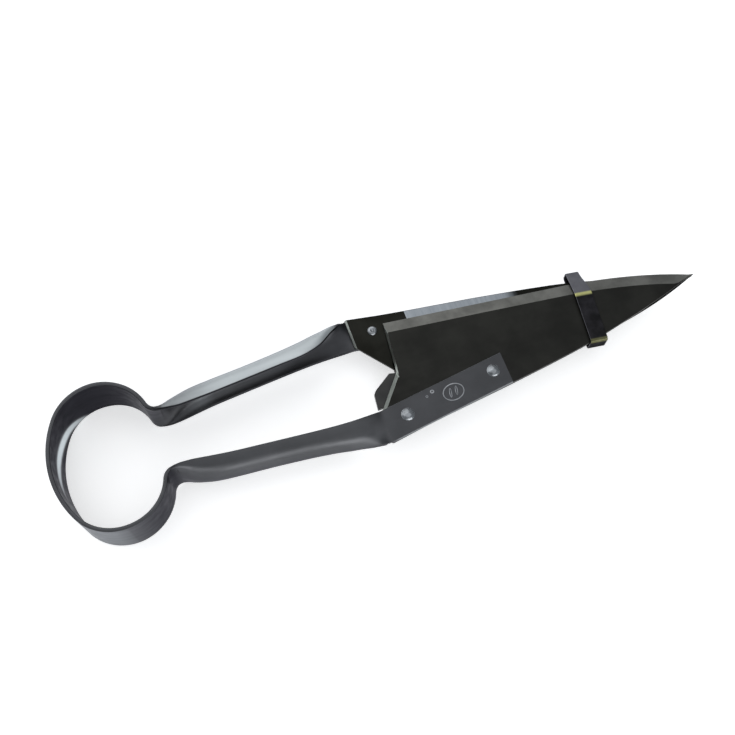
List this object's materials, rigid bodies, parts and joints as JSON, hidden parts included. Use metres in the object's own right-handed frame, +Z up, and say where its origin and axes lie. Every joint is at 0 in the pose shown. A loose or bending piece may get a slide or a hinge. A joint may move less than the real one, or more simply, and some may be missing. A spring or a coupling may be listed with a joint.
{
  "type": "sheep shears",
  "caption": "Single-bow spring shears with channel handles, riveted tapering blades and a sliding keeper clip that holds them shut.",
  "frame": {"origin": "under the middle of the closed shears, on the surface that the bow's lower rim rests on", "axes": "+X towards the blade tips along the long axis, +Y towards the rear (upper) handle, +Z up, square to the plane in which the blades meet"},
  "size_m": [0.34, 0.0748, 0.028],
  "materials": {
    "spring_steel": "satin tempered steel, darker inside the bow and channels",
    "blade_steel": "oil-blackened faces with a ground grey bevel and a polished flat face",
    "rivet_steel": "bright domed heads",
    "keeper_steel": "dark band with brassy worn folds"
  },
  "bodies": {
    "bow": {"bow_spring": "spring_steel"},
    "upper_half": {"upper_bow_arm": "spring_steel", "upper_handle": "spring_steel", "upper_strap": "spring_steel", "rear_blade": "blade_steel", "rear_heel_rivet": "rivet_steel", "rear_toe_rivet": "rivet_steel"},
    "lower_half": {"lower_bow_arm": "spring_steel", "lower_handle": "spring_steel", "lower_strap": "spring_steel", "front_blade": "blade_steel", "front_heel_rivet": "rivet_steel", "front_toe_rivet": "rivet_steel"},
    "keeper": {"keeper_clip": "keeper_steel"}
  },
  "joints": [
    {"name": "upper_flex", "type": "hinge", "parent": "bow", "child": "upper_half", "pos_m": [-0.15207, 0.03423, 0.014], "axis": [0, 0, 1], "range_deg": [0, 7]},
    {"name": "lower_flex", "type": "hinge", "parent": "bow", "child": "lower_half", "pos_m": [-0.15207, -0.03423, 0.014], "axis": [0, 0, 1], "range_deg": [-7, 0]},
    {"name": "keeper_slide", "type": "slide", "parent": "bow", "child": "keeper", "axis": [1, 0, 0], "range_m": [0, 0.16]}
  ],
  "couplings": [
    {"joint": "lower_flex", "follows": "upper_flex", "ratio": -1},
    {"joint": "keeper_slide", "follows": "upper_flex", "m_per_rad": 1.3}
  ]
}
